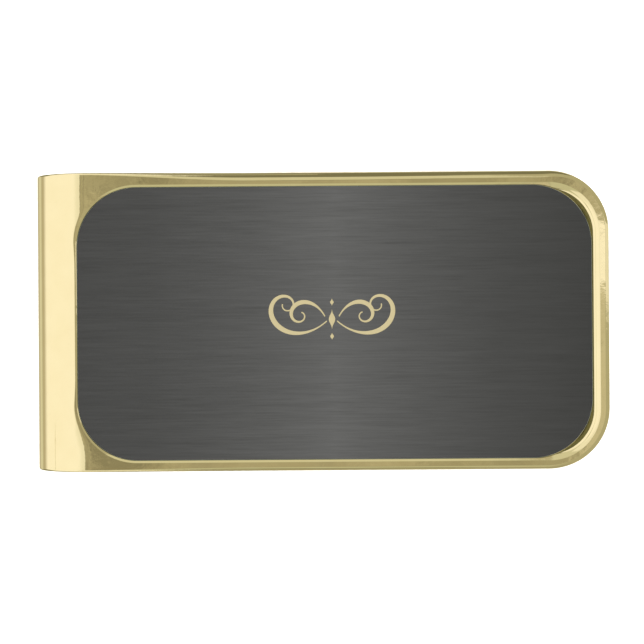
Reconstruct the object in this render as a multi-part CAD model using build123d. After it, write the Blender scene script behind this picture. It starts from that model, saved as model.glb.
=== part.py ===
from build123d import *
import os
from math import cos, radians, sin

# A money clip: one strip of gold-plated brass folded back on itself, with a printed metal insert
# let into its front. It lies on its back: the front faces +Z, +X runs from the fold to the open
# end, and the origin is on the surface it rests on, under the middle. Millimetres and degrees.

# Overall size
length = 50.8
width = 26.3
height = 6.4
strip = 1.25                # thickness of the folded strip
edge_round = 0.35           # rounding of the strip's cut edges

# Fold at the -X end, half an ellipse in side view
fold_reach = 4.8            # from the fold's outermost line to where the front runs flat

# Front plate, its recess and the insert
front_corner = 5.35         # plan radius of the two free corners
insert_length = 45.25
insert_width = 24.0
insert_corner = 5.25
insert_inset = 4.02         # from the fold's outermost line to the insert
insert_thickness = 0.40
insert_edge = 0.06          # broken edge of the insert's front
adhesive_thickness = 0.08
adhesive_margin = 0.6       # the pad stops this far inside the insert's outline
recess_gap = 0.05           # all round the insert
recess_depth = 0.65
rim_end = 0.87              # the rim's flat width at the open end, outside the bevel
rim_side = 0.95             # and along the two long sides
bevel_fold = 0.10           # the bevel's width at the fold end
bevel_depth = 0.20          # from the rim's flat top to where the recess's wall drops straight

# Spring leg, seen from its outside: up to a crest under the plate, then flared out again
climb = 9                   # slope up to the crest
flare = 17                  # slope down from the crest
lift = 10                   # the tip curls back up by this much
climb_radius = 30
crest_radius = 12
tip_radius = 6
crest_gap = 0.20            # left between the crest and the front plate when shut
taper_start = 4.5           # the sides run parallel this far past the fold, then draw in
taper_radius = 40
tip_width = 20.5
tip_corner = 6.0

left = -length / 2
right = length / 2
mid_z = height / 2          # the fold is parted at this level into front frame and spring leg
fold_x = left + fold_reach
plate_underside = height - strip
recess_floor = height - recess_depth
insert_x = left + insert_inset + insert_length / 2
crest_height = plate_underside - crest_gap - strip


def run_length(slope, radii):
    """Length of a straight run that, with the bends at its two ends, makes up the crest's height."""
    in_bends = radii * (1 - cos(radians(slope)))
    return (crest_height - in_bends) / sin(radians(slope))


def fold_arc(inward, start):
    """A quarter of the fold's side view, this far inside its outer face, anticlockwise from start."""
    return EllipticalCenterArc(
        (fold_x, mid_z), fold_reach - inward, mid_z - inward, start, arc_size=90
    )


def leg_line(inward):
    """Side view of the leg, this far inside its outer face. Every run meets the next at a tangent."""
    climb_run = run_length(climb, climb_radius + crest_radius)
    flare_run = run_length(flare, crest_radius + tip_radius)
    bend = JernArc((fold_x, inward), (1, 0), climb_radius - inward, climb)
    rise = Line(bend @ 1, bend @ 1 + (bend % 1) * climb_run)
    crest = JernArc(rise @ 1, rise % 1, crest_radius + inward, -(climb + flare))
    fall = Line(crest @ 1, crest @ 1 + (crest % 1) * flare_run)
    return JernArc(fall @ 1, fall % 1, tip_radius - inward, flare + lift)


def across(profile):
    """Runs a side view the whole width of the strip."""
    return extrude(profile, amount=width / 2, both=True)


def inset_plate(margin, bottom, thickness):
    """A plate of the insert's outline, smaller by the margin all round, from bottom up."""
    outline = RectangleRounded(
        insert_length - 2 * margin, insert_width - 2 * margin, insert_corner - margin
    )
    return extrude(Pos(insert_x, 0, bottom) * outline, amount=thickness)


def recess_outline(level, spread):
    """The recess in plan at this level: its wall where spread is 0, and the bevel's outer line at 1."""
    wall_x = insert_length / 2 + recess_gap
    wall_y = insert_width / 2 + recess_gap
    wall_corner = insert_corner + recess_gap
    low_x = insert_x - wall_x - bevel_fold * spread
    high_x = insert_x + wall_x + (right - rim_end - insert_x - wall_x) * spread
    half_y = wall_y + (width / 2 - rim_side - wall_y) * spread
    fold_corner = wall_corner + bevel_fold * spread
    free_corner = wall_corner + (front_corner - rim_end - wall_corner) * spread
    with BuildSketch(Plane.XY.offset(level)) as outline:
        with Locations(((low_x + high_x) / 2, 0)):
            Rectangle(high_x - low_x, 2 * half_y)
        fillet(outline.vertices().group_by(Axis.X)[0], fold_corner)
        fillet(outline.vertices().group_by(Axis.X)[-1], free_corner)
    return outline.sketch


def round_cut_edges(body):
    """Rounds the edges of the strip's upright cut sides, but not the parting face's."""
    picked = []
    for face in body.faces():
        if abs(face.normal_at().Z) > 0.01:
            continue
        for edge in face.edges():
            box = edge.bounding_box().size
            upright = max(box.X, box.Y) < 0.01
            parting = box.Z < 0.01 and abs(edge.center().Z - mid_z) < 0.01
            if not upright and not parting:
                picked.append(edge)
    return fillet(picked, edge_round)


def make_front_frame():
    """Front plate, the upper half of the fold, and the recess for the insert."""
    with BuildSketch(Plane.XZ) as profile:
        with BuildLine():
            outer = fold_arc(0, 90)
            inner = fold_arc(strip, 90)
            Line(outer @ 1, inner @ 1)
            Polyline(outer @ 0, (right, height), (right, plate_underside), inner @ 0)
        make_face()
    body = across(profile.sketch)
    free_corners = body.edges().filter_by(Axis.Z).sort_by(Axis.X)[-2:]
    body = round_cut_edges(fillet(free_corners, front_corner))
    bevel_start = height - bevel_depth
    pocket = extrude(recess_outline(recess_floor, 0), amount=bevel_start - recess_floor)
    bevel = loft([recess_outline(bevel_start, 0), recess_outline(height + bevel_depth, 2)], ruled=True)
    return body - (pocket + bevel)


def make_spring_leg():
    """The lower half of the fold and the leg that grips, narrower towards its tip."""
    with BuildSketch(Plane.XZ) as profile:
        with BuildLine():
            outer_fold = fold_arc(0, 180)
            inner_fold = fold_arc(strip, 180)
            Line(outer_fold @ 0, inner_fold @ 0)
            outer_tip = leg_line(0)
            inner_tip = leg_line(strip)
            Line(outer_tip @ 1, inner_tip @ 1)
        make_face()
    trim = 0.05             # squares off the slanted end
    tip_x = (inner_tip @ 1).X - trim
    taper_x = fold_x + taper_start
    half = [(left, width / 2), (taper_x, width / 2), (tip_x, tip_width / 2)]
    other_half = [(x, -y) for x, y in reversed(half)]
    with BuildSketch() as plan:
        with BuildLine():
            Polyline(*half, *other_half, close=True)
        make_face()
        fillet(plan.vertices().group_by(Axis.X)[1], taper_radius)
        fillet(plan.vertices().group_by(Axis.X)[-1], tip_corner)
    return round_cut_edges(across(profile.sketch) & extrude(plan.sketch, amount=height))


def make_insert_plate():
    """The printed plate, with its front edge broken."""
    body = inset_plate(0, recess_floor + adhesive_thickness, insert_thickness)
    front_edges = body.faces().sort_by(Axis.Z)[-1].edges()
    return chamfer(front_edges, insert_edge)


nodes = {
    "front_frame": make_front_frame(),
    "spring_leg": make_spring_leg(),
    "insert_plate": make_insert_plate(),
    "adhesive_pad": inset_plate(adhesive_margin, recess_floor, adhesive_thickness),
}

os.makedirs("parts", exist_ok=True)
for name, shape in nodes.items():
    export_step(shape, f"parts/{name}.step")
    print(name, round(shape.volume, 2), shape.bounding_box().size)
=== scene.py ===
"""The looks of a folded money clip: a polished gold strip bent round at one end, with a dark printed
plate let into its front and a small gold ornament on that plate. Sizes are in millimetres and angles in
degrees, and every mesh is turned into metres when it is made."""

from math import ceil, cos, pi, radians, sin

import bpy
import numpy as np
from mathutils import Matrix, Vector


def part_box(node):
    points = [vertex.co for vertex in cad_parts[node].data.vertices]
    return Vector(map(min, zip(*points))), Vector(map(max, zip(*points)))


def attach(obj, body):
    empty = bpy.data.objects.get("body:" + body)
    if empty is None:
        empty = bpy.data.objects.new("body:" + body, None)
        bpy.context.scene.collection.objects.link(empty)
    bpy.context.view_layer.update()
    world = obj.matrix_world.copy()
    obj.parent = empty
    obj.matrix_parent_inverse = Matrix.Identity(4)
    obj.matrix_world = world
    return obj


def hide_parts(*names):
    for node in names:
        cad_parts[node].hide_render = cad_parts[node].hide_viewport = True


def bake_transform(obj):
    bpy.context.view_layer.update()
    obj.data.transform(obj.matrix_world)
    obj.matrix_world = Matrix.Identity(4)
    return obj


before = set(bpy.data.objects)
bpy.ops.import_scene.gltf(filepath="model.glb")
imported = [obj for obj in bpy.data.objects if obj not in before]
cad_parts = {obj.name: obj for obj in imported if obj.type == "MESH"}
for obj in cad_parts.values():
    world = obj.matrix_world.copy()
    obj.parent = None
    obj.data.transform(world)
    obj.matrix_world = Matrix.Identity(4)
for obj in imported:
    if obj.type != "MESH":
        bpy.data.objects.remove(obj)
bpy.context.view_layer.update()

MM = 0.001


def node_box(node):
    """A CAD node's lowest and highest corner, in millimetres."""
    low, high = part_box(node)
    return np.array(low) / MM, np.array(high) / MM


front_low, front_high = node_box("front_frame")
leg_high = node_box("spring_leg")[1]
insert_low, insert_high = node_box("insert_plate")

# The folded strip
left, half_width, top = front_low[0], front_high[1], front_high[2]
right = front_high[0]
strip = 1.25                # thickness
cut_round = 0.35            # rounding of the cut edges
fold_reach = 4.8            # from the fold's outermost line to where the front runs flat
front_corner = 5.35         # plan radius of the front's two free corners
fold_x = left + fold_reach
fold_height = top / 2       # half the fold's height

# Rounding of the front's polished outer edge: crisp by the fold and round the free end, worn between
# them. The +Y side is worn more than the other. Each stretch gives the places along the clip between which
# the edge changes.
fold_edge, free_edge = 0.20, 0.42
worn_edges = {1: (0.84, 0.72), -1: (0.37, 0.37)}    # by side: at mid-length, then near the free corner
first_stretch, worn_stretch, last_stretch = (-22, -6), (0, 19), (19, 23)

# The spring leg, as arcs joined by straight runs
climb, flare, lift = 9, 17, 10
climb_radius, crest_radius, tip_radius = 30, 12, 6
crest_gap = 0.20            # between the crest and the front plate
crest_height = top - strip - crest_gap - strip
tip_x = leg_high[0]
tip_width, tip_corner = 20.5, 6.0
taper_x, taper_radius = fold_x + 4.5, 40
leg_stretch = (2, 14)       # along the leg, where its edge goes from the fold's rounding to the full one

# The insert, its recess and the bevel round the recess. They sit a little nearer to the -Y side, as on the
# real clip.
off_middle = 0.15
insert_half = {1: insert_high[1] - off_middle, -1: insert_high[1] + off_middle}
insert_corner = 5.25
insert_edge = 0.02          # rounding of the insert's bare cut edge
recess_gap = 0.02
recess_depth = 0.65
recess_corner = insert_corner + recess_gap
recess_free_corner = 5.05   # tighter than the insert's, which leaves a thin open crescent
recess_left, recess_right = insert_low[0] - recess_gap, insert_high[0] + recess_gap
# The bevel's width at the fold end, along the sides and at the free end
bevel_fold, bevel_side, bevel_free = 0.10, 0.19, 0.66
bevel_left, bevel_right = recess_left - bevel_fold, recess_right + bevel_free
bevel_fold_corner = recess_corner + bevel_fold
bevel_free_corner = 4.48
split_x = bevel_left - 0.4  # where the fold's own surface meets the ring round the recess

# The bevel's tilt, which grows with the distance inside its outer line
tilt_start, tilt_growth, tilt_limit = 17, 20, 52
growth_end = 0.5
step_place, step_width, step_tilt = 0.36, 0.045, 9      # a faint step, where the tilt dips
curl_place, curl_width, curl_tilt = 0.47, 0.17, 45      # the inner edge curls down

# Metal that the stamping left flat round the recess's fold end: its width on the middle line and at the
# corners, and how far from the middle line it changes
lip_flat, lip_flat_corner = 0.12, 0.36
lip_stretch = (5, 8.5)

# The fold was bent a little unevenly. Towards the -Y side its curve starts later at first, then earlier.
waver_later, later_stretch = 0.15, (4, 8)
waver_earlier, earlier_stretch = 0.5, (9, 11.7)
waver_start = 0.5           # it fades in over this much beyond the split

# The ornament: pen strokes on one side of its middle, each with its twin on the other side. A stroke is
# its start, its heading in degrees, its runs (length, then bend per millimetre at the run's start and at
# its end), its thinnest and thickest width and the share of its length at which it is thickest.
ornament_middle = (1.0, 0.1)
ink_height = 0.03
ink_doming = 0.6            # the share of its height that a stroke loses at its sides
ink_foot = 0.01             # how far the ink reaches below the insert's face
ink_layer = 0.0005          # each stroke is this much higher than the one before, so that none coincide
pen_swell = 2.2             # how late a stroke swells
lozenge_tip = 0.03
STROKES = [
    ((0.45, -0.10), -42, [(2.4, 0.20, 0.30), (2.9, 0.30, 0.50), (2.9, 0.50, 0.98), (2.9, 0.98, 2.5)],
     0.11, 0.44, 0.45),
    ((0.62, 0.30), 62, [(1.7, -0.28, -0.55), (1.7, -0.55, -0.95), (1.8, -0.95, -1.7), (1.2, -1.7, -3.0)],
     0.11, 0.38, 0.42),
]
# Up the middle: place, length and width
LOZENGES = [(0.05, 1.7, 0.56), (1.55, 0.6, 0.32), (-1.45, 0.6, 0.32)]

# How finely the meshes are made
end_steps = 14              # half of a straight end
corner_steps = 28
round_steps = 8             # an edge's rounding
fold_steps = 60             # from the fold's outermost line to the split
front_steps = 150           # the front's long side
leg_steps = (66, 10, 130)   # the leg's half of the fold, its foot and its tapered run
taper_steps = 12
ring_steps, bevel_steps = 16, 24
insert_steps, insert_round_steps = 40, 5
crown_places = 7            # across a pen stroke


def ease(value, low, high):
    """0 below low, 1 above high and a smooth step between."""
    t = np.clip((value - low) / (high - low), 0, 1)
    return t * t * (3 - 2 * t)


# ---- Meshes: sheets of quads with a true normal at every corner ----------------------------------


class Skin:
    """Gathers sheets of faces and joins them into one mesh. Each sheet is made on every side in sides: 1 as
    given and -1 as its mirror image across the middle plane."""

    def __init__(self):
        self.sheets = []
        self.sides = (1, -1)

    def add(self, points, normals, faces, material):
        """Faces given as rows of places in points. Each one is wound to look along its normals."""
        for side in self.sides:
            mirror = np.array([1, side, 1])
            where, facing = points * mirror, normals * mirror
            spokes = where[faces[:, 1:]] - where[faces[:, :1]]
            area = np.cross(spokes[:, :-1], spokes[:, 1:]).sum(axis=1)
            backwards = (area * facing[faces].sum(axis=1)).sum(axis=1) < 0
            wound = np.where(backwards[:, None], faces[:, ::-1], faces)
            self.sheets.append((where, facing, wound, material))

    def sheet(self, points, normals, material=0):
        """A grid of points with a normal at each."""
        rows, columns = points.shape[:2]
        normals = np.broadcast_to(normals, points.shape)
        number = np.arange(rows * columns).reshape(rows, columns)
        quads = np.stack([number[:-1, :-1], number[1:, :-1], number[1:, 1:], number[:-1, 1:]], axis=-1)
        self.add(points.reshape(-1, 3), normals.reshape(-1, 3), quads.reshape(-1, 4), material)

    def plate(self, outline, normal, material=0):
        """One flat face with that outline."""
        self.add(outline, np.broadcast_to(normal, outline.shape), np.arange(len(outline))[None], material)

    def make(self, name, materials):
        """The mesh object, with points at the same place joined."""
        every_point = np.concatenate([sheet[0] for sheet in self.sheets]).round(5)
        points, number = np.unique(every_point, axis=0, return_inverse=True)
        number = number.reshape(-1)
        faces, normals, slots = [], [], []
        start = 0
        for where, facing, rows, material in self.sheets:
            facing = facing / np.linalg.norm(facing, axis=1, keepdims=True)
            for row, joined in zip(rows.tolist(), number[rows + start].tolist()):
                kept = [i for i in range(len(row)) if joined[i] != joined[i - 1]]
                if len(kept) > 2:
                    faces.append([joined[i] for i in kept])
                    normals += [facing[row[i]] for i in kept]
                    slots.append(material)
            start += len(where)
        mesh = bpy.data.meshes.new(name)
        mesh.from_pydata((points * MM).tolist(), [], faces, shade_flat=False)
        mesh.normals_split_custom_set(normals)
        mesh.polygons.foreach_set("material_index", slots)
        for material in materials:
            mesh.materials.append(material)
        piece = bpy.data.objects.new(name, mesh)
        bpy.context.scene.collection.objects.link(piece)
        return piece


def rows_across(edge, columns):
    """Places in rows from the middle line out to each place of an edge, given as pairs (along, across)."""
    along = np.repeat(edge[:, :1], len(columns), axis=1)
    return along, edge[:, 1:] * columns


def half_outline(low_x, high_x, half_y, low_corner, high_corner, steps):
    """Half of a rounded rectangle, from the middle of its low end to the middle of its high end, with
    directions out. steps gives the shares at which each stretch is cut: end, corner, side, corner, end."""
    end, first, side, second, last = (np.asarray(s)[:, None] for s in steps)
    centre_1 = np.array([low_x + low_corner, half_y - low_corner])
    centre_2 = np.array([high_x - high_corner, half_y - high_corner])
    turn_1, turn_2 = pi - first * pi / 2, pi / 2 - second * pi / 2
    out_1 = np.hstack([np.cos(turn_1), np.sin(turn_1)])
    out_2 = np.hstack([np.cos(turn_2), np.sin(turn_2)])
    up, ahead = np.array([0.0, 1.0]), np.array([1.0, 0.0])
    places = [np.array([low_x, 0]) + end * centre_1[1] * up,
              centre_1 + low_corner * out_1,
              centre_1 + low_corner * up + side * (centre_2 - centre_1)[0] * ahead,
              centre_2 + high_corner * out_2,
              np.array([high_x, centre_2[1]]) - last * centre_2[1] * up]
    facing = [np.broadcast_to(-ahead, places[0].shape), out_1, np.broadcast_to(up, places[2].shape), out_2,
              np.broadcast_to(ahead, places[4].shape)]
    keep = [slice(None, -1)] * 4 + [slice(None)]
    return (np.concatenate([p[k] for p, k in zip(places, keep)]),
            np.concatenate([f[k] for f, k in zip(facing, keep)]))


def flat(places, z):
    """Plan places at a height."""
    heights = np.broadcast_to(np.asarray(z, float), places.shape[:-1])
    return np.concatenate([places, heights[..., None]], axis=-1)


def shares(steps):
    """The places from 0 to 1 that cut a stretch into equal steps."""
    return np.linspace(0, 1, steps + 1)


# ---- The strip: a flat blank, bent along one line ------------------------------------------------


def leg_runs():
    """The leg's outer line from the fold's foot: each run's length and its bend per millimetre."""
    climb_arcs = (climb_radius + crest_radius) * (1 - cos(radians(climb)))
    flare_arcs = (crest_radius + tip_radius) * (1 - cos(radians(flare)))
    climb_run = (crest_height - climb_arcs) / sin(radians(climb))
    flare_run = (crest_height - flare_arcs) / sin(radians(flare))
    return [(radians(climb) * climb_radius, 1 / climb_radius),
            (climb_run, 0),
            (radians(climb + flare) * crest_radius, -1 / crest_radius),
            (flare_run, 0),
            (radians(flare + lift) * tip_radius, 1 / tip_radius)]


def side_line(step=0.01):
    """The strip's outer face in side view: distance along it, x, z and the outward normal's x and z.
    Distances are counted from the fold's outermost line, below zero up the front and above zero down the
    leg."""
    turn = np.linspace(0, pi / 2, ceil(fold_reach / step))
    fold = np.stack([fold_x - fold_reach * np.cos(turn), fold_height * np.sin(turn),
                     -np.cos(turn) / fold_reach, np.sin(turn) / fold_height])
    fold[2:] /= np.hypot(*fold[2:])
    upper = fold + np.array([[0], [fold_height], [0], [0]])
    lower = fold * np.array([[1], [-1], [1], [-1]]) + np.array([[0], [fold_height], [0], [0]])
    flat_end = np.array([[right], [top], [0], [1]])
    x, z, heading, leg = fold_x, 0.0, 0.0, []
    for length, bend in leg_runs():
        count = ceil(length / step)
        for _ in range(count):
            heading += bend * length / count / 2
            x += length / count * cos(heading)
            z += length / count * sin(heading)
            heading += bend * length / count / 2
            leg.append((x, z, sin(heading), -cos(heading)))
    line = np.hstack([flat_end, upper[:, ::-1], lower[:, 1:], np.array(leg).T])
    length = np.concatenate([[0], np.cumsum(np.hypot(np.diff(line[0]), np.diff(line[1])))])
    return np.vstack([length - length[turn.size], line])


LINE = side_line()
NOSE = int(np.searchsorted(LINE[0], 0))


def front_distance(x):
    """Distance from the fold's outermost line to a plan place on the front."""
    return -np.interp(x, LINE[1, NOSE::-1], LINE[0, NOSE::-1])


def leg_distance(x):
    """Distance from the fold's outermost line to a plan place on the leg."""
    return np.interp(x, LINE[1, NOSE:], LINE[0, NOSE:])


def on_strip(s, y, depth=0.0):
    """Points of the bent strip: s along its outer face, y across, depth below that face."""
    x, z, out_x, out_z = (np.interp(s, LINE[0], row) for row in LINE[1:])
    return np.stack(np.broadcast_arrays(x - depth * out_x, y, z - depth * out_z), axis=-1)


def bent(s, along, across, out):
    """Directions given on the flat blank, turned as the strip is bent."""
    out_x, out_z = (np.interp(s, LINE[0], row) for row in LINE[3:])
    turned = np.broadcast_arrays(out * out_x - along * out_z, across, out * out_z + along * out_x)
    return np.stack(turned, axis=-1)


def blank_outline(corners, run_steps, corner_steps):
    """Half of a blank's outline, from the fold's outermost line round to the middle of the free end.
    corners are (distance, y, radius). Returns places and directions out."""
    points = np.array([corner[:2] for corner in corners], float)
    radii = [corner[2] for corner in corners]
    runs = np.diff(points, axis=0)
    ways = runs / np.linalg.norm(runs, axis=1)[:, None]
    outs = np.stack([-ways[:, 1], ways[:, 0]], axis=1)
    places, facing, start = [], [], points[0]
    for i, steps in enumerate(run_steps):
        end = points[i + 1]
        turn = 0.0
        if i + 1 < len(ways):
            turn = np.arccos(np.clip(ways[i] @ ways[i + 1], -1, 1))
            end = end - ways[i] * radii[i + 1] * np.tan(turn / 2)
        share = shares(steps)[:, None]
        places.append((start + share * (end - start))[:-1])
        facing.append(np.broadcast_to(outs[i], places[-1].shape))
        if i + 1 < len(ways) and radii[i + 1]:
            angle = shares(corner_steps[i])[:, None] * turn
            around = outs[i] * np.cos(angle) + ways[i] * np.sin(angle)
            places.append((end - outs[i] * radii[i + 1] + around * radii[i + 1])[:-1])
            facing.append(around[:-1])
            end = end - outs[i] * radii[i + 1] + outs[i + 1] * radii[i + 1]
        start = end
    return np.vstack([*places, points[-1:]]), np.vstack([*facing, outs[-1:]])


def add_edge(skin, way, places, facing, rounding):
    """The strip's cut edge: the outer face's rounding, the cut wall and the inner face's rounding. way is
    -1 on the front and 1 on the leg. Returns the lines where the outer and inner faces begin."""
    rounding = np.asarray(rounding)[:, None]
    none = np.zeros_like(rounding)
    turn = shares(round_steps)[None, :] * pi / 2
    inner_turn = shares(round_steps // 2)[None, :] * pi / 2
    # Each band of the edge: its inset from the outline and its depth below the outer face, then how much of
    # its normal is the outer face's and how much points out of the edge
    outer = (rounding * (1 - np.sin(turn)), rounding * (1 - np.cos(turn)), np.cos(turn), np.sin(turn))
    wall = (np.hstack([none, none]), np.hstack([rounding, none + strip - cut_round]), 0.0, 1.0)
    inner = (none + cut_round * (1 - np.cos(inner_turn)),
             none + strip - cut_round * (1 - np.sin(inner_turn)),
             -np.sin(inner_turn), np.cos(inner_turn))
    lines = []
    for inset, depth, out, side in (outer, wall, inner):
        along = places[:, :1] - inset * facing[:, :1]
        y = places[:, 1:] - inset * facing[:, 1:]
        normals = bent(way * along, way * facing[:, :1] * side, facing[:, 1:] * side, out)
        skin.sheet(on_strip(way * along, y, depth), normals)
        lines.append(np.stack([along, y], axis=-1))
    return lines[0][:, 0], lines[2][:, -1]


def add_face(skin, way, edge, columns, depth):
    """The strip's outer face, at depth 0, or its inner one, which has the second material."""
    along, y = rows_across(edge, columns)
    inner = depth > 0
    normals = bent(way * along, 0.0, 0.0, -1 if inner else 1)
    skin.sheet(on_strip(way * along, y, depth), normals, int(inner))


def add_parting(skin, way, outer_columns, inner_columns, outer_y, inner_y, rounding):
    """The flat face at the fold's outermost line, where the front's half of the fold meets the leg's."""
    turn = shares(round_steps) * pi / 2
    inner_turn = shares(round_steps // 2) * pi / 2
    y = np.concatenate([outer_columns * outer_y,
                        half_width - rounding * (1 - np.sin(turn[1:])),
                        half_width - cut_round * (1 - np.cos(inner_turn)),
                        inner_columns[-2::-1] * inner_y])
    depth = np.concatenate([0 * outer_columns,
                            rounding * (1 - np.cos(turn[1:])),
                            strip - cut_round * (1 - np.sin(inner_turn)),
                            0 * inner_columns[1:] + strip])
    skin.plate(on_strip(0.0, y, depth), bent(0.0, -way, 0.0, 0.0))


# ---- The front -----------------------------------------------------------------------------------


def front_rounding(x, side):
    """The rounding of the front's outer edge on one side, by place along the clip."""
    middle, end = worn_edges[side]
    worn = middle + (end - middle) * ease(x, *worn_stretch)
    edge = fold_edge + (worn - fold_edge) * ease(x, *first_stretch)
    return edge + (free_edge - edge) * ease(x, *last_stretch)


def inside_bevel(x, y, half):
    """How far a plan place lies inside the bevel's outer line, whose side is half away from the middle."""
    middle = (bevel_left + bevel_right) / 2
    corner = np.where(x < middle, bevel_fold_corner, bevel_free_corner)
    reach_x = np.abs(x - middle) - (bevel_right - bevel_left) / 2 + corner
    reach_y = np.abs(y) - half + corner
    beyond = np.hypot(np.maximum(reach_x, 0), np.maximum(reach_y, 0))
    return corner - beyond - np.minimum(np.maximum(reach_x, reach_y), 0)


def bevel_tilt(inside):
    """The bevel's tilt: it grows slowly, with a faint step half way, and then curls down."""
    dip = step_tilt * np.exp(-((inside - step_place) / step_width) ** 2)
    slope = tilt_start + tilt_growth * np.clip(inside, 0, growth_end) - dip
    curl = curl_tilt * (np.clip(inside - curl_place, 0, None) / curl_width) ** 1.2
    return radians(1) * np.minimum(slope + curl, tilt_limit)


def bevel_drop(inside):
    """How far the bevel has dropped: its slope added up over a millimetre, in steps of a thousandth."""
    fine = shares(1000)
    slopes = np.tan(bevel_tilt((fine[1:] + fine[:-1]) / 2))
    fall = np.concatenate([[0], np.cumsum(slopes * np.diff(fine))])
    return np.interp(inside, fine, fall)


def side_waver(y):
    """How much earlier the fold's curve starts at a place across the clip."""
    return waver_earlier * ease(-y, *earlier_stretch) - waver_later * ease(-y, *later_stretch)


def add_recess(skin, edge, recess_half):
    """The ring round the recess, its bevel, walls and floor. edge is the ring's outer line, in plan."""
    bevel_half = recess_half + bevel_side
    side_steps = edge.shape[0] - 1 - 2 * end_steps - 2 * corner_steps
    cuts = [shares(steps) for steps in (end_steps, corner_steps, side_steps, corner_steps, end_steps)]
    bevel, _ = half_outline(bevel_left, bevel_right, bevel_half, bevel_fold_corner, bevel_free_corner, cuts)
    wall, wall_out = half_outline(recess_left, recess_right, recess_half, recess_corner,
                                  recess_free_corner, cuts)

    share = shares(ring_steps)[None, :, None]
    ring = edge[:, None] * (1 - share) + bevel[:, None] * share
    ring_s = -front_distance(ring[..., 0])
    outside = -inside_bevel(ring[..., 0], ring[..., 1], bevel_half)
    reach = lip_flat + (lip_flat_corner - lip_flat) * ease(np.abs(ring[..., 1]), *lip_stretch)
    near_lip = 1 - ease(outside / reach, 0.3, 1)[..., None]
    fade = ease(ring[..., 0], split_x, split_x + waver_start)
    waver = side_waver(ring[..., 1] * skin.sides[0]) * fade
    curved = bent(ring_s + waver, 0.0, 0.0, 1.0)
    skin.sheet(on_strip(ring_s, ring[..., 1]), curved * (1 - near_lip) + np.array([0, 0, 1]) * near_lip)

    share = shares(bevel_steps)[None, :, None]
    slope = bevel[:, None] * (1 - share) + wall[:, None] * share
    x, y = slope[..., 0], slope[..., 1]
    surface = on_strip(-front_distance(x), y)
    inside = np.maximum(inside_bevel(x, y, bevel_half), 0)
    surface[..., 2] -= bevel_drop(inside)
    step = 1e-4
    ways = [(step, 0), (0, step)]
    inward = np.stack([inside_bevel(x + a, y + b, bevel_half) - inside_bevel(x - a, y - b, bevel_half)
                       for a, b in ways], axis=-1) / (2 * step)
    skin.sheet(surface, flat(inward * np.tan(bevel_tilt(inside))[..., None], 1.0))

    foot = surface[:, -1].copy()
    foot[:, 2] = top - recess_depth
    skin.sheet(np.stack([surface[:, -1], foot], axis=1), flat(-wall_out, 0.0)[:, None])

    rows = wall[end_steps:len(wall) - end_steps]
    floor_x, floor_y = rows_across(rows, shares(end_steps))
    skin.sheet(flat(np.stack([floor_x, floor_y], axis=-1), top - recess_depth), np.array([0.0, 0.0, 1.0]))


def add_front_half(skin, side):
    """The front plate and the upper half of the fold, on one side of the middle plane."""
    skin.sides = [side]
    turn_x = bevel_left + bevel_fold_corner     # where the recess's fold corners end on its long sides
    end = front_distance(right)
    corners = [(0, half_width, 0),
               (front_distance(split_x), half_width, 0),
               (front_distance(turn_x), half_width, 0),
               (end, half_width, front_corner),
               (end, 0, 0)]
    places, facing = blank_outline(corners, [fold_steps, corner_steps // 2, front_steps, end_steps],
                                   [0, 0, corner_steps])
    x = on_strip(-places[:, 0], places[:, 1])[:, 0]
    rounding = front_rounding(x, side)
    outer, inner = add_edge(skin, -1, places, facing, rounding)

    end_columns = shares(end_steps)
    last_row = len(places) - end_steps
    add_face(skin, -1, inner[:last_row], end_columns, strip)

    recess_half = insert_half[side] + recess_gap
    bevel_end = recess_half + bevel_side - bevel_fold_corner
    outer_y = outer[fold_steps, 1]
    split_y = np.concatenate([end_columns * bevel_end,
                              bevel_end + shares(corner_steps // 2)[1:] * (outer_y - bevel_end)])
    fold_columns = split_y / outer_y
    add_face(skin, -1, outer[:fold_steps + 1], fold_columns, 0)
    add_parting(skin, -1, fold_columns, end_columns, outer[0, 1], inner[0, 1], rounding[0])

    split = np.stack([np.full(split_y.size, split_x), split_y], axis=-1)
    ring_edge = on_strip(-outer[fold_steps + 1:, 0], outer[fold_steps + 1:, 1])[:, :2]
    add_recess(skin, np.vstack([split, ring_edge]), recess_half)


def make_front(materials):
    """The front plate with the upper half of the fold."""
    skin = Skin()
    for side in (1, -1):
        add_front_half(skin, side)
    return skin.make("folded_front", materials)


def make_leg(materials):
    """The spring leg with the lower half of the fold."""
    skin = Skin()
    end = leg_distance(tip_x)
    corners = [(0, half_width, 0),
               (leg_distance(fold_x), half_width, 0),
               (leg_distance(taper_x), half_width, taper_radius),
               (end, tip_width / 2, tip_corner),
               (end, 0, 0)]
    places, facing = blank_outline(corners, [*leg_steps, end_steps], [0, taper_steps, corner_steps])
    rounding = fold_edge + (cut_round - fold_edge) * ease(places[:, 0], *leg_stretch)
    outer, inner = add_edge(skin, 1, places, facing, rounding)
    columns = shares(end_steps)
    last_row = len(places) - end_steps
    add_face(skin, 1, outer[:last_row], columns, 0)
    add_face(skin, 1, inner[:last_row], columns, strip)
    add_parting(skin, 1, columns, columns, outer[0, 1], inner[0, 1], rounding[0])
    return skin.make("folded_leg", materials)


# ---- The insert and its ornament -----------------------------------------------------------------


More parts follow.
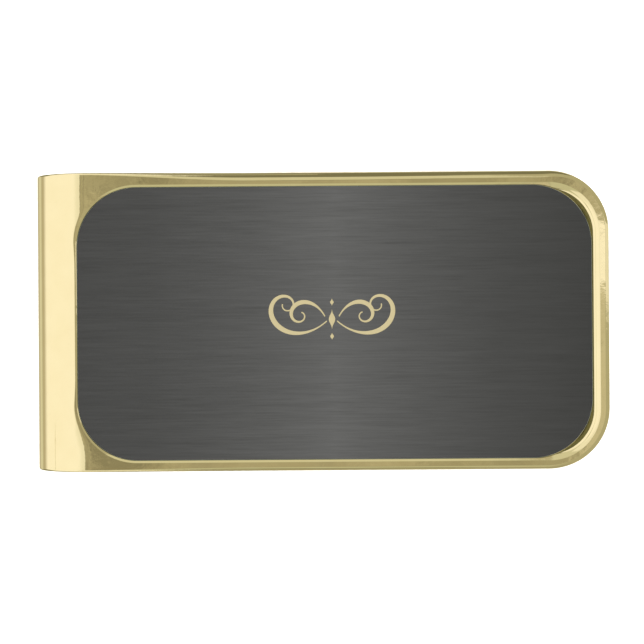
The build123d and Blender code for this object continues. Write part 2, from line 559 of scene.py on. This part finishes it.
def add_insert_half(skin, side):
    """The printed plate on one side of the middle plane."""
    skin.sides = [side]
    cuts = [shares(steps) for steps in (end_steps, corner_steps, insert_steps, corner_steps, end_steps)]
    outline, out = half_outline(insert_low[0], insert_high[0], insert_half[side], insert_corner,
                                insert_corner, cuts)
    turn = shares(insert_round_steps)[None, :, None] * pi / 2
    inset = insert_edge * (1 - np.sin(turn))
    rounded = outline[:, None] - inset * out[:, None]
    height = insert_high[2] - insert_edge * (1 - np.cos(turn[..., 0]))
    skin.sheet(flat(rounded, height), flat(out[:, None] * np.sin(turn), np.cos(turn[..., 0])), material=1)
    lower = np.stack([flat(outline, insert_high[2] - insert_edge), flat(outline, insert_low[2])], axis=1)
    skin.sheet(lower, flat(out, 0.0)[:, None], material=1)
    faces = ((rounded[:, 0], insert_high[2], 1.0, 0), (outline, insert_low[2], -1.0, 1))
    for line, z, up, material in faces:
        x, y = rows_across(line[end_steps:len(line) - end_steps], shares(end_steps))
        skin.sheet(flat(np.stack([x, y], axis=-1), z), np.array([0.0, 0.0, up]), material)


def make_insert(face_material, edge_material):
    """The printed plate: a flat face, and a bare cut edge that is a little rounded."""
    skin = Skin()
    for side in (1, -1):
        add_insert_half(skin, side)
    return skin.make("printed_insert", [face_material, edge_material])


def pen_line(start, heading, runs, step=0.05):
    """A stroke's middle line, as rows of x, y and heading."""
    x, y = start
    turn = radians(heading)
    rows = [(x, y, turn)]
    for length, first_bend, last_bend in runs:
        count = ceil(length / step)
        for i in range(count):
            half_turn = (first_bend + (last_bend - first_bend) * (i + 0.5) / count) * length / count / 2
            turn += half_turn
            x += length / count * cos(turn)
            y += length / count * sin(turn)
            turn += half_turn
            rows.append((x, y, turn))
    return np.array(rows)


def add_stroke(skin, line, widths, height):
    """A closed ribbon of ink along a line, a little domed, with its foot just under the insert's face."""
    face = insert_high[2]
    foot = face - ink_foot
    across = np.stack([-np.sin(line[:, 2]), np.cos(line[:, 2])], axis=-1)
    crown = np.linspace(-1, 1, crown_places)
    places = line[:, None, :2] + across[:, None] * crown[:, None] * widths[:, None, None] / 2
    domed = flat(places, face + height * (1 - ink_doming * crown ** 2))
    tilt = 2 * ink_doming * height * crown[None, :, None] / (widths[:, None, None] / 2)
    skin.sheet(domed, flat(across[:, None] * tilt, 1.0))
    for column, way in ((0, -1), (-1, 1)):
        wall = np.stack([domed[:, column], flat(places[:, column], foot)], axis=1)
        skin.sheet(wall, flat(across * way, 0.0)[:, None])
    skin.sheet(flat(places[:, [0, -1]], foot), np.array([0.0, 0.0, -1.0]))
    for row, way in ((0, -1), (-1, 1)):
        ahead = way * np.array([cos(line[row, 2]), sin(line[row, 2]), 0.0])
        skin.plate(np.vstack([domed[row], flat(places[row, [-1, 0]], foot)]), ahead)


def make_ornament(material):
    """Twin scrolls beside a row of lozenges, printed in raised ink."""
    skin = Skin()
    skin.sides = [1]
    lozenges = [((0.0, y - length / 2), 90, [(length, 0.0, 0.0)], lozenge_tip, width, 0.5)
                for y, length, width in LOZENGES]
    strokes = [(stroke, way) for stroke in STROKES for way in (1, -1)]
    strokes += [(lozenge, 1) for lozenge in lozenges]
    for number, ((start, heading, runs, thin, thick, peak), way) in enumerate(strokes):
        line = pen_line(start, heading, runs)
        if way < 0:
            line = np.stack([-line[:, 0], line[:, 1], pi - line[:, 2]], axis=-1)
        line[:, :2] += ornament_middle
        share = shares(len(line) - 1)
        swell = np.minimum(share / peak, (1 - share) / (1 - peak))
        widths = thin + (thick - thin) * np.sin(swell * pi / 2) ** pen_swell
        add_stroke(skin, line, widths, ink_height + ink_layer * number)
    return skin.make("scroll_ornament", [material])


# ---- Materials -----------------------------------------------------------------------------------


COLOUR_A, COLOUR_B, COLOUR_OUT = 6, 7, 2    # the Mix node's sockets for colours, whose names aren't unique


def feed(tree, socket, value):
    """Links a node's input to another node's output, or sets it to a plain value."""
    if isinstance(value, bpy.types.NodeSocket):
        tree.links.new(value, socket)
    else:
        socket.default_value = value


class Nodes:
    """A node tree, with short calls for the nodes used here."""

    def __init__(self, tree):
        self.tree = tree

    def node(self, kind, inputs=None, **settings):
        """A new node with its settings, and with its inputs linked or set."""
        made = self.tree.nodes.new(kind)
        for key, value in settings.items():
            setattr(made, key, value)
        for key, value in (inputs or {}).items():
            feed(self.tree, made.inputs[key], value)
        return made

    def maths(self, operation, first, second=0.0):
        """One operation on one or two numbers."""
        return self.node("ShaderNodeMath", {0: first, 1: second}, operation=operation).outputs[0]

    def vector(self, operation, first, second=(0, 0, 0)):
        """One operation on one or two vectors."""
        return self.node("ShaderNodeVectorMath", {0: first, 1: second}, operation=operation).outputs[0]

    def ramp(self, value, low, high, start=0.3, end=0.7, **settings):
        """A value spread from low to high as another goes from start to end."""
        inputs = {"Value": value, "From Min": start, "From Max": end, "To Min": low, "To Max": high}
        return self.node("ShaderNodeMapRange", inputs, **settings).outputs["Result"]


class Shading(Nodes):
    """A new material and its nodes. Textures work in millimetres."""

    def __init__(self, name):
        self.material = bpy.data.materials.new(name)
        self.material.use_nodes = True
        super().__init__(self.material.node_tree)
        self.shader = self.tree.nodes["Principled BSDF"]

    def set(self, **values):
        """Links or sets the shader's inputs, given by their names in small letters."""
        for key, value in values.items():
            name = key.replace("_", " ").title().replace("Ior", "IOR")
            feed(self.tree, self.shader.inputs[name], value)

    def place(self, scale=(1, 1, 1)):
        """The object's own coordinates in millimetres, stretched by scale."""
        where = self.node("ShaderNodeTexCoord").outputs["Object"]
        inputs = {"Vector": where, "Scale": [s / MM for s in scale]}
        return self.node("ShaderNodeMapping", inputs).outputs["Vector"]

    def noise(self, scale, detail=3.0, roughness=0.5, stretch=(1, 1, 1), distortion=0.0):
        """Noise with about scale features to the millimetre."""
        inputs = {"Vector": self.place(stretch), "Scale": scale, "Detail": detail, "Roughness": roughness,
                  "Distortion": distortion}
        return self.node("ShaderNodeTexNoise", inputs).outputs["Fac"]

    def stops(self, value, places):
        """A grey that follows (value, brightness) pairs."""
        ramp = self.node("ShaderNodeValToRGB", {"Fac": value})
        elements = ramp.color_ramp.elements
        while len(elements) < len(places):
            elements.new(0.5)
        for element, (place, brightness) in zip(elements, places):
            element.position = place
            element.color = (brightness, brightness, brightness, 1)
        return ramp.outputs["Color"]

    def mix(self, share, first, second):
        """One colour turning into another as share goes from 0 to 1."""
        inputs = {"Factor": share, COLOUR_A: (*first, 1), COLOUR_B: (*second, 1)}
        return self.node("ShaderNodeMix", inputs, data_type="RGBA").outputs[COLOUR_OUT]

    def bump(self, height, distance):
        """A surface raised by up to distance millimetres."""
        return self.node("ShaderNodeBump", {"Height": height, "Distance": distance * MM}).outputs["Normal"]


def gold():
    """Polished pale gold plating: waves and small dimples left by polishing, a cloudy sheen and faint
    scuffs along it."""
    m = Shading("polished_gold")
    clouds = m.noise(0.5, detail=4)
    scuffs = m.noise(1.0, detail=2, stretch=(0.6, 14, 6), distortion=0.4)
    colour = m.mix(m.ramp(clouds, 0, 1), (0.93, 0.80, 0.475), (0.91, 0.775, 0.45))
    sheen = m.maths("ADD", m.ramp(clouds, 0.02, 0.06), m.ramp(scuffs, 0.0, 0.04, 0.55, 0.75))
    waves = m.noise(0.45, detail=2)
    dimples = m.noise(1.1, detail=3, roughness=0.55)
    fine_relief = m.maths("ADD", m.maths("MULTIPLY", dimples, 0.38), m.maths("MULTIPLY", scuffs, 0.01))
    relief = m.maths("ADD", waves, fine_relief)
    m.set(base_color=colour, roughness=sheen, normal=m.bump(relief, 0.010), metallic=1.0)
    return m.material


def inner_gold():
    """The plating inside the fold, which the polishing wheel didn't reach: duller, with a fine
    grain."""
    m = Shading("satin_gold")
    clouds = m.noise(0.4, detail=4)
    grain = m.noise(5.0, detail=3, stretch=(0.4, 2, 1))
    colour = m.mix(m.ramp(clouds, 0, 1), (0.90, 0.76, 0.44), (0.84, 0.69, 0.38))
    sheen = m.ramp(clouds, 0.26, 0.38)
    m.set(base_color=colour, roughness=sheen, normal=m.bump(grain, 0.002), metallic=0.75)
    return m.material


def printed_face():
    """The insert's face: a dark grey print, brushed lengthwise, whose grey is lightest in a band across its
    middle and darker towards both ends.
    """
    m = Shading("brushed_print")
    x = m.node("ShaderNodeSeparateXYZ", {"Vector": m.place()}).outputs["X"]
    along = m.ramp(x, 0.0, 1.0, insert_low[0], insert_high[0])
    # Lightest in a band across the middle and darker towards both ends, painted into the grey
    tone = m.stops(along, [(0, 0.0205), (0.14, 0.0229), (0.24, 0.0272), (0.34, 0.0328), (0.50, 0.0446),
                           (0.63, 0.0338), (0.725, 0.0272), (0.82, 0.0220), (1, 0.0158)])
    fine = m.noise(1.0, detail=5, roughness=0.75, stretch=(0.22, 7, 1))
    broad = m.noise(1.0, detail=2, stretch=(0.05, 1.6, 1))
    streaks = m.maths("ADD", m.ramp(fine, -0.20, 0.20), m.ramp(broad, -0.05, 0.05))
    shade = m.maths("MULTIPLY", tone, m.maths("ADD", streaks, 1.0))
    grey = m.node("ShaderNodeCombineColor", {"Red": shade, "Green": shade, "Blue": shade}).outputs[0]
    sheen = m.ramp(fine, 0.38, 0.50)
    m.set(base_color=grey, roughness=sheen, normal=m.bump(fine, 0.0006), specular_ior_level=0.3)
    return m.material


def bare_edge():
    """The insert's cut edge, where the print stops: dull aluminium with a trace of greenish lacquer."""
    m = Shading("lacquered_aluminium")
    grain = m.noise(3.0, detail=3)
    colour = m.mix(grain, (0.25, 0.28, 0.215), (0.32, 0.35, 0.275))
    sheen = m.ramp(grain, 0.30, 0.45)
    m.set(base_color=colour, roughness=sheen, normal=m.bump(grain, 0.002), metallic=0.4)
    return m.material


def gold_ink():
    """The ornament's pale gold ink."""
    m = Shading("pale_gold_ink")
    grain = m.noise(6.0, detail=3)
    colour = m.mix(grain, (0.245, 0.207, 0.115), (0.277, 0.234, 0.130))
    sheen = m.ramp(grain, 0.35, 0.5)
    m.set(base_color=colour, roughness=sheen, normal=m.bump(grain, 0.002), metallic=0.0)
    return m.material


def adhesive():
    """The clear double-sided film under the insert."""
    m = Shading("adhesive_film")
    grain = m.noise(2.0, detail=4)
    colour = m.mix(grain, (0.66, 0.63, 0.55), (0.78, 0.75, 0.68))
    m.set(base_color=colour, roughness=m.ramp(grain, 0.5, 0.7))
    return m.material


def floor_paint():
    """Plain pale paper."""
    m = Shading("pale_paper")
    grain = m.noise(0.05, detail=4)
    m.set(base_color=m.mix(grain, (0.90, 0.90, 0.90), (0.93, 0.93, 0.93)), roughness=0.9)
    return m.material


# ---- The studio ----------------------------------------------------------------------------------


def make_floor():
    """A wide pale floor. The polished metal mirrors the studio's panels instead of it."""
    reach = 600
    corners = [(-reach, -reach, 0), (reach, -reach, 0), (reach, reach, 0), (-reach, reach, 0)]
    mesh = bpy.data.meshes.new("floor")
    mesh.from_pydata((np.array(corners) * MM).tolist(), [], [[0, 1, 2, 3]])
    mesh.materials.append(floor_paint())
    floor = bpy.data.objects.new("floor", mesh)
    bpy.context.scene.collection.objects.link(floor)
    floor.visible_glossy = False


def make_camera():
    """Straight above the front and close to it, with the frame turned a little."""
    camera_height = 120.0       # above the front's face
    frame_width = 56.5          # what the frame shows of that face
    off_x, off_y, roll = 0.12, -0.09, -0.4
    data = bpy.data.cameras.new("camera")
    data.sensor_width = 36.0
    data.lens = data.sensor_width * camera_height / frame_width
    data.clip_start, data.clip_end = 0.005, 10
    camera = bpy.data.objects.new("camera", data)
    camera.location = (off_x * MM, off_y * MM, (top + camera_height) * MM)
    camera.rotation_euler = (0, 0, radians(roll))
    bpy.context.scene.collection.objects.link(camera)
    bpy.context.scene.camera = camera


# What the metal mirrors, by direction: degrees from straight up towards +X and out of the middle plane
# towards +Y, then the panel's corner radius, the softness of its border, its colour and how patchy it is.
# A later panel lies over an earlier one, and the room's own colour shows where there is none.
ROOM = (0.24, 0.235, 0.19)
PANELS = [
    # towards +X, towards +Y, corner, softness, colour, patchiness
    ((-180, 180), (-90, -54), 4, 8, (0.38, 0.39, 0.30), 0.2),         # beyond the -Y side, low down
    ((-180, 180), (54, 90), 4, 8, (0.21, 0.21, 0.15), 0.2),           # beyond the +Y side, low down
    ((-60, 11), (8, 51), 4, 6, (0.68, 0.69, 0.58), 0),                # light wall beyond the +Y side
    ((-60, 11), (-45, -8), 4, 6, (0.57, 0.59, 0.47), 0),              # light wall beyond the -Y side
    ((10.4, 180), (-60, 60), 0.5, 1, (0.60, 0.58, 0.465), 0.15),      # the room beyond the free end
    ((10.4, 180), (4.1, 60), 0.4, 0.8, (0.48, 0.465, 0.36), 0.3),     # and its dimmer side
    ((12.5, 180), (-60, 60), 0.7, 1.4, (0.46, 0.457, 0.35), 0.2),     # and its lower part
    ((25, 120), (0.4, 9), 0.5, 1, (0.85, 0.85, 0.80), 0),             # its window
    ((10.4, 22), (1.3, 4.1), 0.4, 0.8, (1.07, 1.07, 1.07), 0),        # a small bright card above it
    ((-180, -80), (-90, 90), 5, 10, (0.53, 0.50, 0.40), 0),           # the table beyond the fold
    ((-127, -110), (-90, 90), 3, 6, (0.72, 0.73, 0.61), 0),           # the table's lit edge
    ((-93, -40), (-75, 75), 8, 16, (1.07, 1.07, 1.07), 0),            # the soft box on the fold's side
    ((-80, -16), (-75, 75), 2, 4, (1.07, 1.07, 1.07), 0),             # and its nearer part
    ((-60, -11), (-60, 60), 2, 4, (0.92, 0.93, 0.88), 0),             # its glow on the ceiling
    ((-80, -24), (-75, 75), 4, 8, (1.07, 1.07, 1.07), 0),             # and its core
    ((-64.5, -63.3), (-14, -4.2), 0.2, 0.4, (0.82, 0.78, 0.66), 0),   # a seam in its lower part
    ((-180, -86), (18, 80), 6, 12, (0.20, 0.215, 0.14), 0),           # dark corners of the room
    ((-180, -86), (-80, -18), 6, 12, (0.20, 0.215, 0.14), 0),         # on both sides
    ((142, 230), (-50, 50), 4, 8, (0.90, 0.90, 0.88), 0),             # the pale floor, straight down
    ((-230, -142), (-50, 50), 4, 8, (0.90, 0.90, 0.88), 0),           # the same floor, past -180
    ((-17.5, 10.4), (-15, 15), 6, 1.5, (0.32, 0.31, 0.232), 0.9),     # the dim ceiling
    ((-17.5, -9.4), (-15, 15), 0.5, 1.0, (0.41, 0.395, 0.30), 0.8),   # its lighter end
    ((-6.2, 9.8), (-10, 10), 1, 2, (0.42, 0.405, 0.30), 0.4),         # and its lighter middle
    ((-6.2, 4), (-10, 10), 1.5, 3, (0.44, 0.42, 0.32), 0.35),         # and its lightest part
]


def make_world():
    """Soft studio light: panels in a dim room, and plain pale paper wherever the camera looks past the
    object."""
    patch_scale = 22.0
    world = bpy.data.worlds.new("studio")
    bpy.context.scene.world = world
    world.use_nodes = True
    world.node_tree.nodes.clear()
    w = Nodes(world.node_tree)

    generated = w.node("ShaderNodeTexCoord").outputs["Generated"]
    direction = w.node("ShaderNodeSeparateXYZ", {0: generated}).outputs
    lean_x = w.maths("DEGREES", w.maths("ARCTAN2", direction["X"], direction["Z"]))
    lean_y = w.maths("DEGREES", w.maths("ARCSINE", direction["Y"]))
    lean = w.node("ShaderNodeCombineXYZ", {"X": lean_x, "Y": lean_y}).outputs[0]
    clouds = w.node("ShaderNodeTexNoise", {"Vector": generated, "Scale": patch_scale, "Detail": 4.0,
                                           "Roughness": 0.6}).outputs["Fac"]
    patches = w.ramp(clouds, -0.5, 0.5)

    colour = (*ROOM, 1)
    for reach_x, reach_y, corner, soft, brightness, patchiness in PANELS:
        reach = np.array([reach_x, reach_y, (0, 0)])
        core = (reach[:, 1] - reach[:, 0]) / 2 - (corner, corner, 0)
        offset = w.vector("ABSOLUTE", w.vector("SUBTRACT", lean, reach.mean(axis=1)))
        beyond = w.vector("MAXIMUM", w.vector("SUBTRACT", offset, core))
        distance = w.node("ShaderNodeVectorMath", {0: beyond}, operation="LENGTH").outputs["Value"]
        edge, core_edge = corner + soft / 2, corner - soft / 2
        share = w.ramp(distance, 0, 1, edge, core_edge, interpolation_type="SMOOTHSTEP")
        scale = w.maths("ADD", w.maths("MULTIPLY", patches, patchiness), 1.0)
        scaled = {0: brightness, "Scale": scale}
        panel = w.node("ShaderNodeVectorMath", scaled, operation="SCALE").outputs[0]
        mixed = {"Factor": share, COLOUR_A: colour, COLOUR_B: panel}
        colour = w.node("ShaderNodeMix", mixed, data_type="RGBA").outputs[COLOUR_OUT]

    studio = w.node("ShaderNodeBackground", {"Color": colour}).outputs[0]
    paper = w.node("ShaderNodeBackground", {"Color": (1, 1, 1, 1)}).outputs[0]
    seen = w.node("ShaderNodeLightPath").outputs["Is Camera Ray"]
    shown = w.node("ShaderNodeMixShader", {0: seen, 1: studio, 2: paper}).outputs[0]
    w.node("ShaderNodeOutputWorld", {"Surface": shown})


def make_key_light():
    """A large soft light straight overhead for the paper and the print. The metal doesn't mirror it."""
    width, height, watts = 900, 800, 14.0
    data = bpy.data.lights.new("key", "AREA")
    data.shape = "DISK"
    data.size = width * MM
    data.energy = watts
    light = bpy.data.objects.new("key", data)
    light.location = (0, 0, height * MM)
    light.visible_glossy = False
    bpy.context.scene.collection.objects.link(light)


# ---- The whole scene -----------------------------------------------------------------------------

make_floor()
make_camera()
make_world()
make_key_light()
bpy.context.scene.view_settings.view_transform = "Standard"

metal = [gold(), inner_gold()]
front = make_front(metal)
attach(front, "front")
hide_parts("front_frame")

leg = make_leg(metal)
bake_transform(leg)
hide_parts("spring_leg")

insert = make_insert(printed_face(), bare_edge())
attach(insert, "front")
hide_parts("insert_plate")

ornament = make_ornament(gold_ink())
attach(ornament, "front")

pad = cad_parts["adhesive_pad"]
pad.data.materials.clear()
pad.data.materials.append(adhesive())
